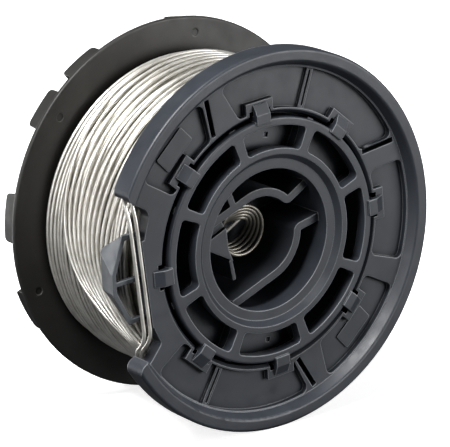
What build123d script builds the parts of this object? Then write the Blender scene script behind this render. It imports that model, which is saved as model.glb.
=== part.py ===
"""A reel of twin tie wire for a rebar tying tool, in millimetres.

The reel turns about Y. The front flange faces -Y, Z is up, and the origin is on the axis, midway
between the front rim and the tips of the crown teeth. Angles are counted from the reel's own zero,
which stands STANCE degrees from +X towards +Z, as seen from the front. A depth is a distance behind
the front rim.
"""

import os
from math import atan2, cos, degrees, pi, radians, sin, sqrt, tan

from build123d import *

# Driving dimensions of the reel
STANCE = -10.24
REEL_RADIUS = 52.5
WINDING_WIDTH = 40.3
RIM_DEPTH = 6.6
REAR_PLATE = 1.5
CROWN_HEIGHT = RIM_DEPTH - REAR_PLATE
WINDING_RADIUS = 43.6
BARREL_RADIUS = 35.5
BORE_RADIUS = 19.6
WIRE = 1.0
WIRE_PAIR_PITCH = 1.95
TOUCH_GAP = 0.1
EDGE_ROUND = 0.8
JOIN = 0.3
NEAR = 0.01

FRONT = -(WINDING_WIDTH / 2 + RIM_DEPTH)
FRONT_FLANGE_BACK = -WINDING_WIDTH / 2
REAR_FLANGE_FACE = WINDING_WIDTH / 2
CROWN_TIPS = REAR_FLANGE_FACE + REAR_PLATE + CROWN_HEIGHT

# Front flange
RIM_INNER = 49.0
RIM_FOOT = 47.6
WEB_DEPTH = 2.8
POCKET_DEPTH = 4.4
POCKET_INNER = 36.2
POCKET_OUTER = 47.2
POCKET_CORNER = 1.8
FLANGE_HOLE = 34.9
RIB_WIDTH = 0.7
RIB_HEIGHT = 0.9
GROOVE_WIDTH = 1.5
PANEL_HEIGHT = 0.5
# Each pocket's first and last angle at its inner edge, then at its outer edge
POCKETS = [
    (-6.5, 32.0, -6.5, 29.0),
    (43.5, 117.0, 38.0, 121.0),
    (133.0, 161.0, 129.0, 161.0),
    (229.0, 293.0, 229.0, 297.0),
    (308.5, 344.5, 305.5, 344.5),
]
# Each thin rib's angle at its inner and at its outer end
RIBS = [(83.5, 83.5), (253.5, 253.5), (351.0, 351.0)]
GROOVES = [(131.0, 127.2), (295.5, 299.5), (42.0, 37.0)]
# Middle angle of each blank label panel
PANELS = [146.0, 324.5]
PANEL_LENGTH = 11.0
PANEL_BREADTH = 5.4
PANEL_CIRCLE = 42.6
PANEL_CORNER = 0.6
RIB_LAND = 0.6
GROOVE_LAND = 0.4
LATCH_INNER = 35.7

# Notch in the front flange, where the wire pair leaves
NOTCH_INNER_ENDS = (169.5, 221.5)
NOTCH_OUTER_ENDS = (167.0, 220.5)
NOTCH_RADIUS = 41.7
NOTCH_CORNER = 3.0
RIM_END_ROUND = 2.4
NOTCH_OVERSHOOT = 9.0
NOTCH_UNDERCUT = 2.0
# The recess behind the rim's lower end: its first and last angle inside, then outside
RECESS_ENDS = (216.0, 221.5, 216.0, 224.8)
RECESS_OUTER = 48.7
RECESS_CORNER = 1.5
# The straight edge that the wires rest on
SEAT_ANGLE = 198.5
SEAT_DISTANCE = 40.5
SEAT_LENGTH = 24.5
SEAT_SHIFT = -1.05
SEAT_BREADTH = 3.0
# The channel at the back of the rim's upper end, which the wires pass into
CHANNEL_ENDS = (161.8, 170.5)
CHANNEL_INNER = 46.0
CHANNEL_OUTER = 51.3
CHANNEL_CEILING = 3.4

# Drum
RING_DEPTH = 1.8
RING_RADIUS = 33.9
SLOT_INNER = 25.4
SLOT_OUTER = 31.7
SLOT_COUNT = 8
SPOKE_ANGLE = 31.5
SLOT_SPAN = 39.5
SLOT_CORNER = 1.2
SLOT_FLOOR_DEPTH = 8.0
SLOT_BOTTOM_DEPTH = 26.0
FLOORED_SLOTS = (0, 1, 4, 5)
FLOOR_THICKNESS = 1.6
FLOOR_CORNER = 0.4
RING_EDGE = 0.5
COLLAR_DEPTH = 3.3
COLLAR_OUTER = 23.8
COLLAR_INNER = 22.3
TUBE_WALL = 2.2
BARREL_WALL = 2.6
END_PLATE = 3.2
RIB_THICKNESS = 2.0
WALL_DEPTH = 6.8
WALL_THICKNESS = 2.2
PARTITION = 1.8
CHANNEL_ANGLE = 33.5
CHANNEL_HALF = 12.3
NECK_X = 11.5
NECK_HALF = 4.5
NECK_ROUND = 1.2
MOUTH_HALF = 5.8
POCKET_SWING = 27.0
BLOCK_DEPTH = WALL_DEPTH + 2.4
BLOCK = [(-21, -5.2), (-21, -4), (-14.7, -1.25), (-10.4, 1.85), (-8.5, -4.15), (-6.4, -7.15), (-14.3, -4.75)]
SHELF = [(-21, -4), (-14.7, -1.25), (-10.4, 1.85), (-12.4, 5.5), (-19.7, 0.84)]
SHELF_DROP = 1.2
POST = [(-7.3, -7.0), (-5.0, -12.4)]
POST_WIDTH = 1.0
WALL_STRUT_X = -4.6
WALL_STRUT = 1.8
# Radius and angle of each square dent in a slot's floor
FLOOR_DENTS = [(27.8, 95.6), (30.1, 286.5)]
DENT_WIDTH = 1.3
DENT_DEPTH = 0.5

# Snap hooks of the drum, which hold the front flange
HOOK_ANGLE = 16.0
HOOK_WIDTH = 4.4
HOOK_INNER = 33.6
HOOK_STEM_OUTER = 35.4
HOOK_HEAD_OUTER = 38.4
HOOK_TOP_DEPTH = 1.2
HOOK_CREST = 0.3
HOOK_LIP = 0.3
HOOK_ROOT = 1.0
WINDOW_WIDTH = 7.0
WINDOW_OUTER = 36.7
LATCH_LENGTH = 3.4
LATCH_MARGIN = 0.9

# Rear flange
CROWN_OUTER = 51.3
CROWN_WALL = 2.0
# Middle angle and width of each crown tooth of one half turn
TEETH = [(91.0, 15.5), (132.2, 13.0), (151.0, 13.0), (186.2, 15.0), (218.0, 15.0)]
REAR_HUB_OUTER = 24.0
REAR_HUB_DEPTH = 4.0
REAR_RIB_COUNT = 8
REAR_RIB_END = 45.0
REAR_RIB_HEIGHT = 1.4
DOT_RADIUS = 1.1
DOT_DEPTH = 0.3
DOT_CIRCLE = 48.0
DOT_COUNT = 6
DOT_START = 91.0
TOOTH_ROUND = 1.3
REAR_EDGE = 0.5
REAR_HUB_EDGE = 0.6

# Wire ends
TAIL_ANGLE = 198.2
TAIL_REST = 41.15
TAIL_DEPTH = 3.3
# Each end of the tails: its side, the straight run's half length, then how far along, how much
# further out (near and far wire) and how deep the wire passes behind the flange
TAIL_ENDS = [(-1, 19.5, 26.0, (0.0, -0.3), 4.8), (1, 14.5, 19.5, (1.3, 0.4), 7.8)]
# Each later point of a tail's end: its angle from the middle, radius and depth
TAIL_WRAP = [(38.0, 46.6, 9.6), (50.0, 45.1, 10.6), (62.0, 44.5, 11.4)]
COIL_RADIUS = 7.2
COIL_TURNS = 5
COIL_PITCH = 1.65
COIL_TAPER = 0.4
COIL_DEPTH = 14.5
START_FROM = (1.2, 4.4)
START_TO = (-3.8, -1.8)
START_SINK = 1.8

# Wire retainer. Each corner of its mouth and of its back is a distance from the axis and a place along
RETAINER_ANGLE = 194.0
RETAINER_DEPTH = 5.5
RETAINER_LENGTH = 9.0
RETAINER_BASE = 44.1
RETAINER_MOUTH = [(44.1, -12.1), (45.6, -12.1), (49.5, -1.9), (49.5, 3.6), (45.2, 12.7), (44.1, 12.7)]
RETAINER_BACK = [(44.1, -6.9), (45.8, -6.7), (46.7, -5.5), (46.7, 4.8), (45.8, 6.0), (44.1, 6.2)]
RETAINER_WALL = 1.2
HOLLOW_SHRINK = 0.88
HOLLOW_SINK = 0.6
# Each strut's place along and its outer end
STRUTS = [(-11.3, 45.2), (0.8, 48.9), (11.9, 44.9)]
STRUT_INNER = 38.0
STRUT_WIDTH = 1.2
STRUT_DEPTH = 1.1


def face_on(depth):
    """The plane at a depth behind the front rim, seen from the front, with x at the reel's zero."""
    turn = radians(STANCE)
    return Plane(origin=(0, FRONT + depth, 0), x_dir=(cos(turn), 0, sin(turn)), z_dir=(0, -1, 0))


def side_on(angle):
    """The plane through the axis at one of the reel's angles: x is the radius and y is Y."""
    turn = radians(angle + STANCE)
    return Plane(origin=(0, 0, 0), x_dir=(cos(turn), 0, sin(turn)), z_dir=(-sin(turn), 0, cos(turn)))


def polar(radius, angle):
    """A point of a face-on plane."""
    return (radius * cos(radians(angle)), radius * sin(radians(angle)))


def sector(inner, outer, first_in, last_in, first_out, last_out, corner):
    """A piece of a ring with round corners, as a sketch. Its ends may slant."""
    middle_in = (first_in + last_in) / 2
    middle_out = (first_out + last_out) / 2
    with BuildSketch() as piece:
        with BuildLine():
            ThreePointArc(polar(inner, first_in), polar(inner, middle_in), polar(inner, last_in))
            Line(polar(inner, last_in), polar(outer, last_out))
            ThreePointArc(polar(outer, last_out), polar(outer, middle_out), polar(outer, first_out))
            Line(polar(outer, first_out), polar(inner, first_in))
        make_face()
        if corner:
            fillet(piece.vertices(), corner)
    return piece.sketch


def bar(angle_in, angle_out, inner, outer, width):
    """Draws a straight bar between two radii, at its own angle at each end."""
    x_in, y_in = polar(inner, angle_in)
    x_out, y_out = polar(outer, angle_out)
    length = sqrt((x_out - x_in) ** 2 + (y_out - y_in) ** 2)
    turn = degrees(atan2(y_out - y_in, x_out - x_in))
    with Locations(Location(((x_in + x_out) / 2, (y_in + y_out) / 2, 0), (0, 0, turn))):
        Rectangle(length, width)


def notch_cut():
    """What is cut from the front flange for its notch, with the rim's two ends rounded."""
    around = (NOTCH_INNER_ENDS[0] - NOTCH_OVERSHOOT, NOTCH_INNER_ENDS[1] + NOTCH_OVERSHOOT)
    beyond = REEL_RADIUS + NOTCH_OVERSHOOT
    opening = sector(NOTCH_RADIUS, beyond, *NOTCH_INNER_ENDS, *NOTCH_OUTER_ENDS, NOTCH_CORNER)
    recess = sector(NOTCH_RADIUS, RECESS_OUTER, *RECESS_ENDS, RECESS_CORNER)
    with BuildSketch() as kept:
        Circle(REEL_RADIUS)
        add(opening, mode=Mode.SUBTRACT)
        on_rim = [v for v in kept.vertices() if abs(v.center().length - REEL_RADIUS) < NEAR]
        fillet([v for v in on_rim if v.X < 0 and abs(v.Y) > 1], RIM_END_ROUND)
        add(recess, mode=Mode.SUBTRACT)
        with Locations(Location((*polar(SEAT_DISTANCE, SEAT_ANGLE), 0), (0, 0, SEAT_ANGLE))):
            with Locations((0, SEAT_SHIFT)):
                Rectangle(SEAT_BREADTH, SEAT_LENGTH, align=(Align.MIN, Align.CENTER), mode=Mode.SUBTRACT)
                Rectangle(SEAT_BREADTH, SEAT_LENGTH, align=(Align.MAX, Align.CENTER))
    with BuildSketch() as cut:
        add(sector(NOTCH_RADIUS - NOTCH_UNDERCUT, beyond, *around, *around, NOTCH_CORNER))
        add(kept.sketch, mode=Mode.SUBTRACT)
    return cut.sketch


def hub_walls():
    """The two mirrored walls in the bore, which leave a round pocket with a neck, and a strut."""
    with BuildSketch() as walls:
        with BuildLine():
            Line((-sqrt(BORE_RADIUS**2 - CHANNEL_HALF**2), CHANNEL_HALF), (0, CHANNEL_HALF))
            pocket_end = polar(CHANNEL_HALF, POCKET_SWING)
            ThreePointArc((0, CHANNEL_HALF), polar(CHANNEL_HALF, 45 + POCKET_SWING / 2), pocket_end)
            neck = (NECK_X, NECK_HALF)
            FilletPolyline(pocket_end, neck, (BORE_RADIUS, MOUTH_HALF), radius=NECK_ROUND)
        trace(line_width=WALL_THICKNESS)
        mirror(about=Plane.XZ)
        with Locations((WALL_STRUT_X, (CHANNEL_HALF + BORE_RADIUS) / 2)):
            Rectangle(WALL_STRUT, BORE_RADIUS - CHANNEL_HALF)
        Circle(BORE_RADIUS + TUBE_WALL / 2, mode=Mode.INTERSECT)
    return walls.sketch.rotate(Axis.Z, CHANNEL_ANGLE)


def retainer_outline(corners, shrink, sink):
    """The retainer's outline at one depth. Its hollow is the same, shrunk and moved inwards."""
    points = []
    for away, along in corners:
        points.append((RETAINER_BASE + (away - RETAINER_BASE) * shrink - sink, along * shrink))
    with BuildSketch() as outline:
        with BuildLine():
            Polyline(*points, close=True)
        make_face()
    return outline.sketch.rotate(Axis.Z, RETAINER_ANGLE)


def tail_route(step):
    """A wire tail's corner points: a straight rest in the notch, then down onto the winding."""
    shift = step * WIRE_PAIR_PITCH
    middle = radians(TAIL_ANGLE)
    route = []
    for side, straight, tuck, lifts, tuck_depth in TAIL_ENDS:
        half = [(TAIL_REST + shift, straight, TAIL_DEPTH)]
        half.append((TAIL_REST + shift + lifts[step], tuck, tuck_depth + shift / 2))
        for angle, radius, depth in TAIL_WRAP:
            reach = radius + shift / 4
            half.append((reach * cos(radians(angle)), reach * sin(radians(angle)), depth + shift))
        if side < 0:
            half.reverse()
        for away, along, depth in half:
            x = away * cos(middle) - side * along * sin(middle)
            y = away * sin(middle) + side * along * cos(middle)
            route.append(face_on(depth).from_local_coords(Vector(x, y, 0)))
    return route


def bend_radii(route):
    """Each corner's largest radius that its two runs leave room for."""
    radii = []
    for before, corner, after in zip(route, route[1:], route[2:]):
        arriving = corner - before
        leaving = after - corner
        half_turn = radians(arriving.get_angle(leaving)) / 2
        radii.append(0.45 * min(arriving.length, leaving.length) / tan(half_turn))
    print("bend radii", [round(radius, 1) for radius in radii])
    return radii


os.makedirs("parts", exist_ok=True)

# Front flange: rim, web with pockets, ribs and grooves, hook windows and the notch
web = FRONT + WEB_DEPTH
with BuildPart() as front_flange:
    with BuildSketch(Plane.XY):
        with BuildLine():
            Polyline(
                (FLANGE_HOLE, FRONT_FLANGE_BACK),
                (REEL_RADIUS, FRONT_FLANGE_BACK),
                (REEL_RADIUS, FRONT),
                (RIM_INNER, FRONT),
                (RIM_FOOT, web),
                (FLANGE_HOLE + EDGE_ROUND, web),
                (FLANGE_HOLE, web + EDGE_ROUND),
                close=True,
            )
        section = make_face()
        rim_corners = section.vertices().sort_by(Axis.Y)[:2]
        fillet(rim_corners, EDGE_ROUND)
    revolve(axis=Axis.Y)
    with BuildSketch(face_on(WEB_DEPTH)):
        for first_in, last_in, first_out, last_out in POCKETS:
            add(sector(POCKET_INNER, POCKET_OUTER, first_in, last_in, first_out, last_out, POCKET_CORNER))
    extrude(amount=WEB_DEPTH - POCKET_DEPTH, mode=Mode.SUBTRACT)
    with BuildSketch(face_on(POCKET_DEPTH)):
        for angle_in, angle_out in RIBS:
            bar(angle_in, angle_out, POCKET_INNER - JOIN, POCKET_OUTER + JOIN, 3 * RIB_WIDTH)
    extrude(amount=RIB_HEIGHT)
    with BuildSketch(face_on(POCKET_DEPTH - RIB_HEIGHT)):
        for angle_in, angle_out in RIBS:
            bar(angle_in, angle_out, POCKET_INNER + RIB_LAND, POCKET_OUTER - RIB_LAND, RIB_WIDTH)
    extrude(amount=-RIB_HEIGHT / 2, mode=Mode.SUBTRACT)
    with BuildSketch(face_on(WEB_DEPTH)):
        for angle_in, angle_out in GROOVES:
            groove_inner = POCKET_INNER + GROOVE_LAND
            groove_outer = POCKET_OUTER - GROOVE_LAND
            bar(angle_in, angle_out, groove_inner, groove_outer, GROOVE_WIDTH)
    extrude(amount=WEB_DEPTH - POCKET_DEPTH - RIB_HEIGHT, mode=Mode.SUBTRACT)
    with BuildSketch(face_on(POCKET_DEPTH)):
        for angle in PANELS:
            with Locations(Location((*polar(PANEL_CIRCLE, angle), 0), (0, 0, angle))):
                RectangleRounded(PANEL_BREADTH, PANEL_LENGTH, PANEL_CORNER)
    extrude(amount=PANEL_HEIGHT)
    with BuildSketch(face_on(POCKET_DEPTH)):
        with PolarLocations(0, SLOT_COUNT, start_angle=HOOK_ANGLE):
            with Locations((LATCH_INNER + LATCH_LENGTH / 2, 0)):
                Rectangle(LATCH_LENGTH, WINDOW_WIDTH + 2 * LATCH_MARGIN)
    extrude(amount=POCKET_DEPTH - WEB_DEPTH)
    with BuildSketch(face_on(0)):
        with PolarLocations(0, SLOT_COUNT, start_angle=HOOK_ANGLE):
            with Locations(((WINDOW_OUTER + FLANGE_HOLE - JOIN) / 2, 0)):
                Rectangle(WINDOW_OUTER - FLANGE_HOLE + JOIN, WINDOW_WIDTH)
    extrude(amount=-RIM_DEPTH, mode=Mode.SUBTRACT)
    with BuildSketch(face_on(0)):
        add(notch_cut())
    extrude(amount=-RIM_DEPTH, mode=Mode.SUBTRACT)
    with BuildSketch(face_on(CHANNEL_CEILING)):
        add(sector(CHANNEL_INNER, CHANNEL_OUTER, *CHANNEL_ENDS, *CHANNEL_ENDS, 0))
    extrude(amount=CHANNEL_CEILING - RIM_DEPTH, mode=Mode.SUBTRACT)
front_flange.part.label = "front_flange"
export_step(front_flange.part, "parts/front_flange.step")

# Drum: barrel, slotted end ring, bore collar, inner tube, ribs, hub walls and snap hooks
plate_back = FRONT + RING_DEPTH + END_PLATE
with BuildPart() as drum:
    with BuildSketch(Plane.XY):
        with BuildLine():
            Polyline(
                (BORE_RADIUS, REAR_FLANGE_FACE),
                (BORE_RADIUS, FRONT + COLLAR_DEPTH),
                (COLLAR_INNER, FRONT + COLLAR_DEPTH),
                (COLLAR_OUTER, FRONT + RING_DEPTH),
                (RING_RADIUS, FRONT + RING_DEPTH),
                (RING_RADIUS, FRONT_FLANGE_BACK),
                (BARREL_RADIUS, FRONT_FLANGE_BACK),
                (BARREL_RADIUS, REAR_FLANGE_FACE),
                (BARREL_RADIUS - BARREL_WALL, REAR_FLANGE_FACE),
                (BARREL_RADIUS - BARREL_WALL, plate_back),
                (BORE_RADIUS + TUBE_WALL, plate_back),
                (BORE_RADIUS + TUBE_WALL, REAR_FLANGE_FACE),
                close=True,
            )
        section = make_face()
        ring_edge = section.vertices().filter_by_position(Axis.X, RING_RADIUS - NEAR, RING_RADIUS + NEAR)
        fillet(ring_edge.sort_by(Axis.Y)[0], RING_EDGE)
    revolve(axis=Axis.Y)
    rib_outer = BARREL_RADIUS - BARREL_WALL / 2
    rib_inner = BORE_RADIUS + TUBE_WALL / 2
    with BuildSketch(face_on(RING_DEPTH + END_PLATE / 2)):
        with PolarLocations(0, SLOT_COUNT, start_angle=SPOKE_ANGLE):
            with Locations(((rib_outer + rib_inner) / 2, 0)):
                Rectangle(rib_outer - rib_inner, RIB_THICKNESS)
    extrude(amount=-(REAR_FLANGE_FACE - FRONT - RING_DEPTH - END_PLATE / 2))
    with BuildSketch(face_on(0)):
        with PolarLocations(0, SLOT_COUNT, start_angle=SPOKE_ANGLE + 360 / SLOT_COUNT / 2):
            add(sector(SLOT_INNER, SLOT_OUTER, *(-SLOT_SPAN / 2, SLOT_SPAN / 2) * 2, SLOT_CORNER))
    extrude(amount=-(RING_DEPTH + END_PLATE), mode=Mode.SUBTRACT)
    with BuildSketch(face_on(SLOT_FLOOR_DEPTH)):
        for number in FLOORED_SLOTS:
            middle = SPOKE_ANGLE + (number + 0.5) * 360 / SLOT_COUNT
            half = 180 / SLOT_COUNT
            ends = (middle - half, middle + half)
            add(sector(rib_inner, rib_outer, *ends, *ends, FLOOR_CORNER))
    extrude(amount=-FLOOR_THICKNESS)
    with BuildSketch(face_on(SLOT_FLOOR_DEPTH)):
        for radius, angle in FLOOR_DENTS:
            with Locations(polar(radius, angle)):
                Rectangle(DENT_WIDTH, DENT_WIDTH)
    extrude(amount=-DENT_DEPTH, mode=Mode.SUBTRACT)
    with BuildSketch(face_on(WALL_DEPTH)):
        add(hub_walls())
    extrude(amount=-(SLOT_BOTTOM_DEPTH - WALL_DEPTH))
    with BuildSketch(face_on(SLOT_BOTTOM_DEPTH - PARTITION)):
        Circle(BORE_RADIUS + TUBE_WALL / 2)
    extrude(amount=-PARTITION)
    for corners, depth in ((BLOCK, BLOCK_DEPTH), (SHELF, BLOCK_DEPTH + SHELF_DROP)):
        with BuildSketch(face_on(depth)):
            with BuildLine():
                Polyline(*corners, close=True)
            make_face()
            Circle(BORE_RADIUS + TUBE_WALL / 2, mode=Mode.INTERSECT)
        extrude(amount=-(SLOT_BOTTOM_DEPTH - depth - PARTITION / 2))
    with BuildSketch(face_on(BLOCK_DEPTH)):
        with BuildLine():
            Line(*POST)
        trace(line_width=POST_WIDTH)
    extrude(amount=-(SLOT_BOTTOM_DEPTH - BLOCK_DEPTH - PARTITION / 2))
    hook_foot = FRONT_FLANGE_BACK + HOOK_ROOT
    hook_top = FRONT + HOOK_TOP_DEPTH
    web_face = FRONT + WEB_DEPTH
    for number in range(SLOT_COUNT):
        with BuildSketch(side_on(HOOK_ANGLE + number * 360 / SLOT_COUNT)):
            with BuildLine():
                Polyline(
                    (HOOK_INNER - 2 * JOIN, hook_foot),
                    (HOOK_INNER - 2 * JOIN, hook_top),
                    (HOOK_STEM_OUTER + HOOK_CREST, hook_top),
                    (HOOK_HEAD_OUTER, web_face - HOOK_LIP),
                    (HOOK_HEAD_OUTER, web_face),
                    (HOOK_STEM_OUTER, web_face),
                    (HOOK_STEM_OUTER, hook_foot),
                    close=True,
                )
            make_face()
        extrude(amount=HOOK_WIDTH / 2, both=True)
drum.part.label = "drum"
export_step(drum.part, "parts/drum.step")

# Rear flange: plate, bore hub, ribs and the crown that the tool's brake catches
rear_plate_back = REAR_FLANGE_FACE + REAR_PLATE
behind = Plane(origin=(0, rear_plate_back, 0), x_dir=-face_on(0).x_dir, z_dir=(0, 1, 0))
with BuildPart() as rear_flange:
    with BuildSketch(Plane.XY):
        with BuildLine():
            Polyline(
                (BORE_RADIUS, REAR_FLANGE_FACE),
                (REEL_RADIUS, REAR_FLANGE_FACE),
                (REEL_RADIUS, rear_plate_back),
                (REAR_HUB_OUTER, rear_plate_back),
                (REAR_HUB_OUTER, rear_plate_back + REAR_HUB_DEPTH),
                (BORE_RADIUS, rear_plate_back + REAR_HUB_DEPTH),
                close=True,
            )
        section = make_face()
        fillet(section.vertices().sort_by(Axis.X)[-2:], REAR_EDGE)
        hub_end = rear_plate_back + REAR_HUB_DEPTH
        fillet(section.vertices().filter_by_position(Axis.Y, hub_end - NEAR, hub_end + NEAR), REAR_HUB_EDGE)
    revolve(axis=Axis.Y)
    with BuildSketch(behind):
        with PolarLocations(0, REAR_RIB_COUNT, start_angle=SPOKE_ANGLE):
            with Locations(((REAR_HUB_OUTER + REAR_RIB_END) / 2 - JOIN, 0)):
                Rectangle(REAR_RIB_END - REAR_HUB_OUTER + 2 * JOIN, RIB_THICKNESS)
    extrude(amount=REAR_RIB_HEIGHT)
    with BuildSketch(behind):
        for half_turn in (0, 180):
            for middle, width in TEETH:
                ends = (180 - middle - width / 2 + half_turn, 180 - middle + width / 2 + half_turn)
                add(sector(CROWN_OUTER - CROWN_WALL, CROWN_OUTER, *ends, *ends, 0))
    extrude(amount=CROWN_HEIGHT)
    tooth_corners = rear_flange.edges().filter_by(GeomType.LINE)
    tooth_corners = tooth_corners.filter_by_position(Axis.Y, CROWN_TIPS - NEAR, CROWN_TIPS + NEAR)
    fillet(tooth_corners, TOOTH_ROUND)
    with BuildSketch(face_on(REAR_FLANGE_FACE - FRONT)):
        with PolarLocations(DOT_CIRCLE, DOT_COUNT, start_angle=DOT_START):
            Circle(DOT_RADIUS)
    extrude(amount=-DOT_DEPTH, mode=Mode.SUBTRACT)
rear_flange.part.label = "rear_flange"
export_step(rear_flange.part, "parts/rear_flange.step")

# Wire retainer: a faceted shell over the winding's edge, with struts to the notch
retainer_hollow = (HOLLOW_SHRINK, HOLLOW_SINK, RETAINER_WALL, Mode.SUBTRACT)
with BuildPart() as wire_retainer:
    for shrink, sink, wall, mode in ((1, 0, 0, Mode.ADD), retainer_hollow):
        with BuildSketch(face_on(RETAINER_DEPTH)):
            add(retainer_outline(RETAINER_MOUTH, shrink, sink))
        with BuildSketch(face_on(RETAINER_DEPTH + RETAINER_LENGTH - wall)):
            add(retainer_outline(RETAINER_BACK, shrink, sink))
        loft(ruled=True, mode=mode)
    with BuildSketch(face_on(RETAINER_DEPTH)):
        with Locations(Location((0, 0, 0), (0, 0, RETAINER_ANGLE))):
            for along, outer in STRUTS:
                with Locations(((outer + STRUT_INNER) / 2, along)):
                    Rectangle(outer - STRUT_INNER, STRUT_WIDTH)
    extrude(amount=-STRUT_DEPTH)
    with BuildSketch(face_on(0)):
        Circle(REEL_RADIUS)
        add(notch_cut(), mode=Mode.SUBTRACT)
    extrude(amount=-RIM_DEPTH, mode=Mode.SUBTRACT)
wire_retainer.part.label = "wire_retainer"
export_step(wire_retainer.part, "parts/wire_retainer.step")

# The wound stretch of both wires, with their turns side by side
with BuildPart() as wire_windings:
    with BuildSketch(face_on(RIM_DEPTH + TOUCH_GAP)):
        Circle(WINDING_RADIUS)
        Circle(BARREL_RADIUS + TOUCH_GAP, mode=Mode.SUBTRACT)
    extrude(amount=-(WINDING_WIDTH - 2 * TOUCH_GAP))
wire_windings.part.label = "wire_windings"
export_step(wire_windings.part, "parts/wire_windings.step")

# The two wires' outer ends: along the notch, and back onto the winding at both of its ends
for name, step in (("wire_a_tail", 0), ("wire_b_tail", 1)):
    route = tail_route(step)
    with BuildPart() as wire_tail:
        with BuildLine() as path:
            FilletPolyline(*route, radius=bend_radii(route))
        with BuildSketch(Plane(origin=path.line @ 0, z_dir=path.line % 0)):
            Circle(WIRE / 2)
        sweep()
    length = sum(edge.length for edge in path.edges())
    share = wire_tail.part.volume / (length * pi * WIRE**2 / 4)
    print(name, "length", round(length, 1), "volume over section times length", round(share, 4))
    wire_tail.part.label = name
    export_step(wire_tail.part, f"parts/{name}.step")

# The wires' inner ends in the hub: one is a small coil, and the other is a short straight end
coil_length = COIL_TURNS * COIL_PITCH + WIRE
coil_end = COIL_RADIUS - COIL_TURNS * COIL_TAPER
with BuildPart() as wire_a_start:
    with BuildSketch(Plane.XY):
        with BuildLine():
            Polyline(
                (COIL_RADIUS - WIRE / 2, FRONT + COIL_DEPTH),
                (COIL_RADIUS + WIRE / 2, FRONT + COIL_DEPTH),
                (coil_end + WIRE / 2, FRONT + COIL_DEPTH + coil_length),
                (coil_end - WIRE / 2, FRONT + COIL_DEPTH + coil_length),
                close=True,
            )
        make_face()
    revolve(axis=Axis.Y)
wire_a_start.part.label = "wire_a_start"
export_step(wire_a_start.part, "parts/wire_a_start.step")

strand_from = face_on(COIL_DEPTH + START_SINK).from_local_coords(Vector(*START_FROM, 0))
strand_to = face_on(COIL_DEPTH + 2 * START_SINK).from_local_coords(Vector(*START_TO, 0))
with BuildPart() as wire_b_start:
    with BuildSketch(Plane(origin=strand_from, z_dir=strand_to - strand_from)):
        Circle(WIRE / 2)
    extrude(amount=(strand_to - strand_from).length)
wire_b_start.part.label = "wire_b_start"
export_step(wire_b_start.part, "parts/wire_b_start.step")
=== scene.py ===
"""The reel of twin tie wire in Blender: materials, wound wire, studio and camera. Metres."""

import math
import random

import bpy
import numpy as np
from mathutils import Matrix, Vector


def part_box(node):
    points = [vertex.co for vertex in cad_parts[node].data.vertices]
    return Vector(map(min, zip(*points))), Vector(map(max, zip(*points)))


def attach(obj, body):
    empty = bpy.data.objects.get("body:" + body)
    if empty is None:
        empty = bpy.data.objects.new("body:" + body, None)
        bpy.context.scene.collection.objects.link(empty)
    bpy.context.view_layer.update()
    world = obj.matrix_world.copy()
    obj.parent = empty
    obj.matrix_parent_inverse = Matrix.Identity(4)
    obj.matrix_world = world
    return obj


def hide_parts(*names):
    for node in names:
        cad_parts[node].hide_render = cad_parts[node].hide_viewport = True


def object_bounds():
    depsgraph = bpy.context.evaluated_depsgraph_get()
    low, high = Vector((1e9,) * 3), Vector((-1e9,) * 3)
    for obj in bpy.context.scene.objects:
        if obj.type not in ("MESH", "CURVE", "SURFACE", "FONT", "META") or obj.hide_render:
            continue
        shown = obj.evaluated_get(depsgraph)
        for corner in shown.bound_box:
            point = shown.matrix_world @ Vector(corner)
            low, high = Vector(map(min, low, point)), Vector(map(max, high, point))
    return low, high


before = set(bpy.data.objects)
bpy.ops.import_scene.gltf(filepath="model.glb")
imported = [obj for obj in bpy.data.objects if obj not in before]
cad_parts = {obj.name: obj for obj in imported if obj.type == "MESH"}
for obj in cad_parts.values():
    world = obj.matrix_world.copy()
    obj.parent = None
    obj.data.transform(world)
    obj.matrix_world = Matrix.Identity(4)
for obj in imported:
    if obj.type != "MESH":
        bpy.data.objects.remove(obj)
cad_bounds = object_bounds()

MM = 0.001
TURN = 2 * math.pi
dice = random.Random(11)

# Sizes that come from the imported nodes, in millimetres
wound_low, wound_high = (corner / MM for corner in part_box("wire_windings"))
WOUND_RADIUS = wound_high.x
WOUND_FRONT = wound_low.y
WOUND_BACK = wound_high.y
coil_low, coil_high = (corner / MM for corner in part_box("wire_a_start"))
floor_height = cad_bounds[0].z

# Sizes in millimetres and angles in degrees. STANCE is the reel's turn round its axis
STANCE = -10.24
BARREL_RADIUS = 35.5
EDGE_ROUND = 0.45
# Reach of the painted shade that darkens corners and recesses
PAINTED_SHADE_REACH = 5.0
WIRE = 1.0
WIRE_SIDES = 10
PITCH = 1.7
STEPS_PER_TURN = 96
FLANGE_GAP = 0.7
DIVE = 1.6
DIVE_STEPS = 8
RIPPLE = 0.12

# Loose turns: places along the axis early on, beside the retainer and at the notch's corner
FAN_COUNT = 10
FAN_NEAR, FAN_NEAR_SPREAD = -13.6, 27.5
FAN_BESIDE, FAN_BESIDE_SPREAD = -10.9, 19.0
FAN_CORNER, FAN_CORNER_STEP = -18.9, 0.62
FAN_STACK = 0.95

# The coil in the hub, pinched at one angle
COIL_TURNS = 5
COIL_STEPS = 48
COIL_PINCH = 90 + STANCE
COIL_LEAD = 1.9
COIL_SHRINK, COIL_LOOSENESS = 0.9, 0.6
COIL_RISE, COIL_OPENING = 0.3, 1.35

# Studio and camera, in metres
FLOOR_HALF = 3.0
CAMERA_DISTANCE = 0.840
CAMERA_RIGHT, CAMERA_UP = -0.013776, 0.005108
CAMERA_LENS = 253.0
CAMERA_SENSOR = 36.0

# Sockets of the colour mix node
MIX_FACTOR, MIX_FIRST, MIX_SECOND, MIX_RESULT = 0, 6, 7, 2


# ---------------------------------------------------------------- materials

def new_material(name):
    """A node material, with its tree and its Principled shader."""
    made = bpy.data.materials.new(name)
    made.use_nodes = True
    tree = made.node_tree
    return made, tree, tree.nodes["Principled BSDF"]


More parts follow.
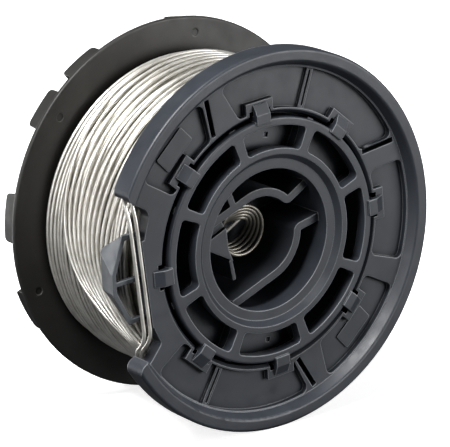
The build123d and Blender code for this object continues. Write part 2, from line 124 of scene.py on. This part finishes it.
def noise(tree, vector, scale, detail=4.0, roughness=0.55):
    """A noise texture on the given coordinates."""
    node = tree.nodes.new("ShaderNodeTexNoise")
    node.inputs["Scale"].default_value = scale
    node.inputs["Detail"].default_value = detail
    node.inputs["Roughness"].default_value = roughness
    tree.links.new(vector, node.inputs["Vector"])
    return node


def ramp(tree, factor, stops):
    """A colour ramp with (place, colour) stops."""
    node = tree.nodes.new("ShaderNodeValToRGB")
    while len(node.color_ramp.elements) < len(stops):
        node.color_ramp.elements.new(0.5)
    for element, (place, colour) in zip(node.color_ramp.elements, stops):
        element.position = place
        element.color = (*colour, 1.0)
    tree.links.new(factor, node.inputs["Fac"])
    return node


def spread(tree, value, low, high, start=0.3, end=0.7):
    """The value's middle range mapped to low..high."""
    node = tree.nodes.new("ShaderNodeMapRange")
    node.inputs["From Min"].default_value = start
    node.inputs["From Max"].default_value = end
    node.inputs["To Min"].default_value = low
    node.inputs["To Max"].default_value = high
    tree.links.new(value, node.inputs["Value"])
    return node


def blend(tree, factor, first, second, kind="MIX"):
    """A colour mix. The factor and the second colour may be fixed values or links."""
    node = tree.nodes.new("ShaderNodeMix")
    node.data_type = "RGBA"
    node.blend_type = kind
    tree.links.new(first, node.inputs[MIX_FIRST])
    for value, socket in ((factor, node.inputs[MIX_FACTOR]), (second, node.inputs[MIX_SECOND])):
        if isinstance(value, (float, tuple)):
            socket.default_value = value
        else:
            tree.links.new(value, socket)
    return node.outputs[MIX_RESULT]


def moulded_plastic(name, dark, light, edge_highlight, rough=0.45):
    """Satin moulded plastic: cloudy tone, painted shade in corners and recesses, painted highlights
    along the edges and a fine grain.
    """
    made, tree, shader = new_material(name)
    place = tree.nodes.new("ShaderNodeTexCoord").outputs["Object"]
    cloud = noise(tree, place, 70.0, 5.0)
    tone = ramp(tree, cloud.outputs["Fac"], [(0.35, dark), (0.68, light)])
    # Painted highlight: where the rounded normal bends away from the flat one, the colour turns to
    # the light edge colour
    rounded = tree.nodes.new("ShaderNodeBevel")
    rounded.samples = 8
    rounded.inputs["Radius"].default_value = EDGE_ROUND * MM
    flat = tree.nodes.new("ShaderNodeNewGeometry")
    bend = tree.nodes.new("ShaderNodeVectorMath")
    bend.operation = "DOT_PRODUCT"
    tree.links.new(rounded.outputs["Normal"], bend.inputs[0])
    tree.links.new(flat.outputs["Normal"], bend.inputs[1])
    edge_highlight_mask = spread(tree, bend.outputs["Value"], 0.95, 0.0, 0.86, 0.997)
    with_edge_highlight = blend(tree, edge_highlight_mask.outputs["Result"], tone.outputs["Color"], (*edge_highlight, 1.0))
    # Painted shade: sheltered corners and recesses get a darker colour and a lower specular level
    shade_probe = tree.nodes.new("ShaderNodeAmbientOcclusion")
    shade_probe.samples = 8
    shade_probe.inputs["Distance"].default_value = PAINTED_SHADE_REACH * MM
    painted_shade = spread(tree, shade_probe.outputs["AO"], 0.15, 1.0, 0.2, 0.8)
    shaded = blend(tree, 1.0, with_edge_highlight, painted_shade.outputs["Result"], "MULTIPLY")
    tree.links.new(shaded, shader.inputs["Base Color"])
    shade_dimmed_shine = spread(tree, shade_probe.outputs["AO"], 0.03, 0.5, 0.3, 0.85)
    tree.links.new(shade_dimmed_shine.outputs["Result"], shader.inputs["Specular IOR Level"])
    patches = noise(tree, place, 260.0, 3.0)
    gloss = spread(tree, patches.outputs["Fac"], rough - 0.06, rough + 0.08)
    tree.links.new(gloss.outputs["Result"], shader.inputs["Roughness"])
    grain = noise(tree, place, 2600.0, 2.0)
    bump = tree.nodes.new("ShaderNodeBump")
    bump.inputs["Strength"].default_value = 0.12
    bump.inputs["Distance"].default_value = 0.00006
    tree.links.new(grain.outputs["Fac"], bump.inputs["Height"])
    tree.links.new(rounded.outputs["Normal"], bump.inputs["Normal"])
    tree.links.new(bump.outputs["Normal"], shader.inputs["Normal"])
    return made


def drawn_wire(name, dark, light, rough):
    """Drawn steel wire: die lines along it, and a cloudy coat."""
    made, tree, shader = new_material(name)
    coords = tree.nodes.new("ShaderNodeTexCoord")
    stretched = tree.nodes.new("ShaderNodeMapping")
    stretched.inputs["Scale"].default_value = (60.0, 14.0, 1.0)
    tree.links.new(coords.outputs["UV"], stretched.inputs["Vector"])
    lines = noise(tree, stretched.outputs["Vector"], 1.0, 3.0)
    cloud = noise(tree, coords.outputs["Object"], 240.0, 4.0)
    tone = ramp(tree, cloud.outputs["Fac"], [(0.3, dark), (0.62, light)])
    tree.links.new(tone.outputs["Color"], shader.inputs["Base Color"])
    gloss = spread(tree, lines.outputs["Fac"], rough - 0.06, rough + 0.1)
    tree.links.new(gloss.outputs["Result"], shader.inputs["Roughness"])
    bump = tree.nodes.new("ShaderNodeBump")
    bump.inputs["Strength"].default_value = 0.15
    bump.inputs["Distance"].default_value = 0.00003
    tree.links.new(lines.outputs["Fac"], bump.inputs["Height"])
    tree.links.new(bump.outputs["Normal"], shader.inputs["Normal"])
    shader.inputs["Metallic"].default_value = 0.85
    return made


# The third colour of each plastic is the painted highlight along its edges
reel_plastic = moulded_plastic(
    "reel_plastic", (0.017, 0.020, 0.026), (0.026, 0.030, 0.038), (0.19, 0.2, 0.215)
)
rear_plastic = moulded_plastic(
    "rear_plastic", (0.012, 0.0115, 0.0105), (0.019, 0.018, 0.0165), (0.07, 0.07, 0.066), 0.5
)
retainer_plastic = moulded_plastic(
    "retainer_plastic", (0.036, 0.042, 0.050), (0.052, 0.059, 0.068), (0.14, 0.15, 0.16)
)
# One steel for all the wire. The darker copies are painted shade: one for the under layer and the
# hub's coil, the darkest for the deeper turns
bright_wire = drawn_wire("bright_wire", (0.6, 0.58, 0.53), (0.84, 0.82, 0.77), 0.4)
painted_shade_wire = drawn_wire("painted_shade_wire", (0.15, 0.14, 0.12), (0.28, 0.265, 0.23), 0.45)
painted_deep_shade_wire = drawn_wire("painted_deep_shade_wire", (0.04, 0.037, 0.03), (0.1, 0.095, 0.08), 0.55)


# ---------------------------------------------------------------- mesh helpers

def mesh_piece(name, points, faces, uvs, material):
    """A smooth mesh piece from points in millimetres."""
    data = bpy.data.meshes.new(name)
    data.from_pydata([tuple(MM * c for c in p) for p in points], [], faces)
    data.polygons.foreach_set("use_smooth", [True] * len(data.polygons))
    layer = data.uv_layers.new(name="along")
    for loop in data.loops:
        layer.data[loop.index].uv = uvs[loop.vertex_index]
    data.materials.append(material)
    data.validate()
    piece = bpy.data.objects.new(name, data)
    bpy.context.scene.collection.objects.link(piece)
    return piece


def tube(paths, radius=WIRE / 2, sides=WIRE_SIDES):
    """Points, faces and uvs of round wires along the paths, with domed ends."""
    points, faces, uvs = [], [], []
    for path in paths:
        path = np.asarray(path, float)
        heading = np.gradient(path, axis=0)
        heading /= np.linalg.norm(heading, axis=1)[:, None]
        up = np.cross(heading[0], (0.31, 0.17, 0.93))
        up /= np.linalg.norm(up)
        run = 0.0
        first = len(points)
        for i, (centre, along) in enumerate(zip(path, heading)):
            up = up - along * np.dot(up, along)
            up /= np.linalg.norm(up)
            side = np.cross(along, up)
            if i:
                run += np.linalg.norm(centre - path[i - 1])
            for k in range(sides):
                turn = TURN * k / sides
                points.append(centre + radius * (math.cos(turn) * up + math.sin(turn) * side))
                uvs.append((run / 1000, k / sides))
        rows = len(path)
        for i in range(rows - 1):
            for k in range(sides):
                a = first + i * sides + k
                b = first + i * sides + (k + 1) % sides
                faces.append((a, b, b + sides, a + sides))
        for row, outward in ((0, -1), (rows - 1, 1)):
            points.append(path[row] + outward * heading[row] * radius * 0.4)
            uvs.append((run / 1000 if row else 0.0, 0.5))
            tip = len(points) - 1
            for k in range(sides):
                a = first + row * sides + k
                b = first + row * sides + (k + 1) % sides
                faces.append((a, b, tip) if outward > 0 else (b, a, tip))
    return points, faces, uvs


def around(angle, radius, y):
    """The point at an angle from +X towards +Z, a radius and a place along the axis."""
    return (radius * math.cos(angle), y, radius * math.sin(angle))


def smooth_path(knots, per_knot=14):
    """A Catmull-Rom line through (degrees, radius, y) knots."""
    knots = [np.array(k, float) for k in knots]
    knots = [2 * knots[0] - knots[1], *knots, 2 * knots[-1] - knots[-2]]
    line = []
    for a, b, c, d in zip(knots, knots[1:], knots[2:], knots[3:]):
        for i in range(per_knot):
            t = i / per_knot
            line.append(
                0.5 * (2 * b + (c - a) * t + (2 * a - 5 * b + 4 * c - d) * t**2
                       + (3 * b - a - 3 * c + d) * t**3)
            )
    line.append(knots[-2])
    return [around(math.radians(p[0]), p[1], p[2]) for p in line]


# ---------------------------------------------------------------- the wound wire

drift = [
    (dice.uniform(0.28, 0.5), dice.choice((1, 2, 3)), dice.uniform(0.25, 0.55), dice.uniform(0, TURN))
    for _ in range(4)
]


def wander(angle, y, seed):
    """How far a turn strays along the axis there. It never brings two turns of a layer together."""
    return 0.5 * sum(
        size * math.sin(times * angle + slope * y + start + seed)
        for size, times, slope, start in drift
    )


def wound_layer(radius, hand, seed):
    """Both wires' paths in one layer, wound side by side from flange to flange."""
    room = WOUND_BACK - WOUND_FRONT - WIRE - 2 * FLANGE_GAP
    turns = (room - PITCH) / (2 * PITCH)
    paths = []
    for strand in (0, 1):
        path = []
        for i in range(int(turns * STEPS_PER_TURN) + 1):
            angle = TURN * i / STEPS_PER_TURN + seed
            along = WIRE / 2 + FLANGE_GAP + strand * PITCH + 2 * PITCH * i / STEPS_PER_TURN
            y = WOUND_FRONT + along if hand > 0 else WOUND_BACK - along
            stray = wander(angle, y, seed)
            left = turns * STEPS_PER_TURN - i
            dive = max(0.0, 1 - i / DIVE_STEPS, 1 - left / DIVE_STEPS)
            height = radius + RIPPLE * math.sin(3 * angle + y + seed) - RIPPLE - DIVE * dive
            path.append(around(angle, height, y + stray))
        paths.append(path)
    return paths


def finished_wire(name, paths, material, stands_for=None):
    """A wire piece on the reel, in the wire's material slot."""
    points, faces, uvs = tube(paths)
    piece = mesh_piece(name, points, faces, uvs, material)
    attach(piece, "root")
    if stands_for:
        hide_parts(stands_for)
    return piece


outer = wound_layer(WOUND_RADIUS - WIRE / 2, 1, 0.6)
under = wound_layer(WOUND_RADIUS - 1.5 * WIRE, -1, 2.9)
# The under layer is in the darker copy of the steel: painted shade
for letter, strand in (("a", 0), ("b", 1)):
    finished_wire(f"wire_{letter}_wound", [outer[strand]], bright_wire, "wire_windings")
    finished_wire(f"wire_{letter}_under", [under[strand]], painted_shade_wire, "wire_windings")


def ridged_line(start, end, ridges, per_ridge, lift):
    """The (radius, y) points from start to end, with round ridges raised by the lift."""
    line = []
    for i in range(ridges * per_ridge + 1):
        share = i / (ridges * per_ridge)
        ridge = abs(math.sin(math.pi * i / per_ridge))
        line.append([a + (b - a) * share + c * ridge for a, b, c in zip(start, end, lift)])
    return line


def ridged_core():
    """The deeper turns as one closed ring with a ridge for each turn, also on its two sides."""
    top = WOUND_RADIUS - 2.1 * WIRE
    low = BARREL_RADIUS + 0.2
    front = WOUND_FRONT + 0.1
    back = WOUND_BACK - 0.1
    inset = 0.45
    bulge = 0.4
    across = int((back - front) / PITCH)
    deep = int((top - low) / WIRE)
    profile = ridged_line((top, front + inset), (top, back - inset), across, 6, (inset, 0))
    profile += ridged_line((top, back - inset), (low, back - inset), deep, 5, (0, bulge))
    profile += ridged_line((low, front + inset), (top, front + inset), deep, 5, (0, -bulge))
    rings = 160
    points, faces, uvs = [], [], []
    for i in range(rings):
        turn = TURN * i / rings
        for k, (radius, y) in enumerate(profile):
            points.append(around(turn, radius, y))
            uvs.append((turn * 0.04, k / 6))
    n = len(profile)
    for i in range(rings):
        j = (i + 1) % rings
        for k in range(n):
            m = (k + 1) % n
            faces.append((i * n + k, i * n + m, j * n + m, j * n + k))
    return points, faces, uvs


# The deeper turns are in the darkest copy of the steel: painted shade
points, faces, uvs = ridged_core()
core = mesh_piece("wound_core", points, faces, uvs, painted_deep_shade_wire)
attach(core, "root")
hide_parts("wire_windings")

# Loose turns over the wound layer. The notch's lower corner draws them together, past the retainer
OVER = WOUND_RADIUS + 0.45 * WIRE
SUNK = WOUND_RADIUS - 1.3 * WIRE
fan = []
for number in range(FAN_COUNT):
    share = number / (FAN_COUNT - 1)
    near = FAN_NEAR + FAN_NEAR_SPREAD * share + dice.uniform(-0.5, 0.5)
    beside = FAN_BESIDE + FAN_BESIDE_SPREAD * share
    corner = FAN_CORNER + FAN_CORNER_STEP * number
    stack = OVER + (FAN_STACK if number % 2 else 0.0)
    first = 52 + dice.uniform(-9, 14)
    knots = [
        (first, SUNK, near + 0.4),
        (first + 13, OVER, near + 0.2),
        (120, OVER, near),
        (158, OVER, (2 * near + beside) / 3),
        (186, OVER + 0.1, beside),
        (202, OVER + 0.2, beside - (beside - corner) * 0.22),
        (213, (OVER + stack) / 2 + 0.3, beside - (beside - corner) * 0.62),
        (221, stack + 0.2, corner),
        (227, stack, corner + 0.3),
        (242, OVER, corner + 1.6 + share),
        (256 + 6 * share, SUNK, corner + 2.2 + share),
    ]
    fan.append(smooth_path([(angle + STANCE, radius, y) for angle, radius, y in knots]))
finished_wire("wire_loose_turns", fan, bright_wire)

# The small coil of one inner end. Its turns are pinched together at one side and spread at the other
coil = []
pinch = math.radians(COIL_PINCH)
coil_outer = coil_high.x - WIRE / 2
for i in range(COIL_TURNS * COIL_STEPS + 1):
    t = i / COIL_STEPS
    angle = TURN * t + pinch + COIL_LEAD
    openness = (1 - math.cos(angle - pinch)) / 2
    radius = coil_outer - t * (COIL_SHRINK - COIL_LOOSENESS * openness)
    rise = t * (COIL_RISE + COIL_OPENING * openness)
    coil.append(around(angle, radius, coil_low.y + WIRE / 2 + rise))
# The coil is in the darker copy of the steel: painted shade
finished_wire("wire_a_start_coil", [coil], painted_shade_wire, "wire_a_start")


# ---------------------------------------------------------------- the carried nodes

def dress(node, material):
    """Gives a CAD node its material."""
    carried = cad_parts[node]
    if not carried.material_slots:
        carried.data.materials.append(material)
    for held in carried.material_slots:
        held.material = material


dress("drum", reel_plastic)
dress("front_flange", reel_plastic)
dress("rear_flange", rear_plastic)
dress("wire_retainer", retainer_plastic)
for node in ("wire_a_tail", "wire_b_tail", "wire_b_start"):
    dress(node, bright_wire)


# ---------------------------------------------------------------- studio

def softbox(name, place, size, power):
    """An area light aimed at the middle of the reel."""
    light = bpy.data.lights.new(name, "AREA")
    light.shape = "RECTANGLE"
    light.size, light.size_y = size
    light.energy = power
    made = bpy.data.objects.new(name, light)
    made.location = place
    made.rotation_euler = (-Vector(place)).to_track_quat("-Z", "Y").to_euler()
    bpy.context.scene.collection.objects.link(made)
    return made


floor_data = bpy.data.meshes.new("floor")
quarters = ((-1, -1), (1, -1), (1, 1), (-1, 1))
corners = [(x * FLOOR_HALF, y * FLOOR_HALF, floor_height) for x, y in quarters]
floor_data.from_pydata(corners, [], [(0, 1, 2, 3)])
floor = bpy.data.objects.new("floor", floor_data)
floor_material, floor_tree, floor_shader = new_material("pale_floor")
floor_shader.inputs["Base Color"].default_value = (0.93, 0.93, 0.93, 1)
floor_shader.inputs["Roughness"].default_value = 0.9
floor_shader.inputs["Emission Color"].default_value = (1, 1, 1, 1)
floor_shader.inputs["Emission Strength"].default_value = 0.75
floor_data.materials.append(floor_material)
bpy.context.scene.collection.objects.link(floor)
floor.visible_diffuse = False
floor.visible_glossy = False

world = bpy.data.worlds.new("studio")
bpy.context.scene.world = world
world.use_nodes = True
sky = world.node_tree.nodes["Background"]
sky.inputs["Color"].default_value = (0.95, 0.97, 1.0, 1)
sky.inputs["Strength"].default_value = 0.1
softbox("key", (-0.5, -0.15, 0.9), (0.4, 0.4), 24.0)
softbox("sheen", (0.62, -0.85, 0.12), (0.7, 0.5), 12.0)
softbox("side", (-0.95, -0.25, 0.15), (0.3, 0.5), 2.5)
softbox("back", (-0.35, 1.0, -0.1), (0.6, 0.5), 5.0)
bpy.context.scene.view_settings.view_transform = "Standard"

# Camera
right = Vector((0.8007, -0.5990, 0.0))
forward = Vector((0.5735, 0.7666, -0.2888))
up = Vector((0.1730, 0.2312, 0.9573))
face = Vector((0.0, cad_bounds[0].y, 0.0))
camera_data = bpy.data.cameras.new("camera")
camera_data.lens = CAMERA_LENS
camera_data.sensor_width = CAMERA_SENSOR
camera = bpy.data.objects.new("camera", camera_data)
place = face + CAMERA_RIGHT * right + CAMERA_UP * up - CAMERA_DISTANCE * forward
turned = Matrix((right, up, -forward)).transposed().to_4x4()
camera.matrix_world = Matrix.Translation(place) @ turned
bpy.context.scene.collection.objects.link(camera)
bpy.context.scene.camera = camera
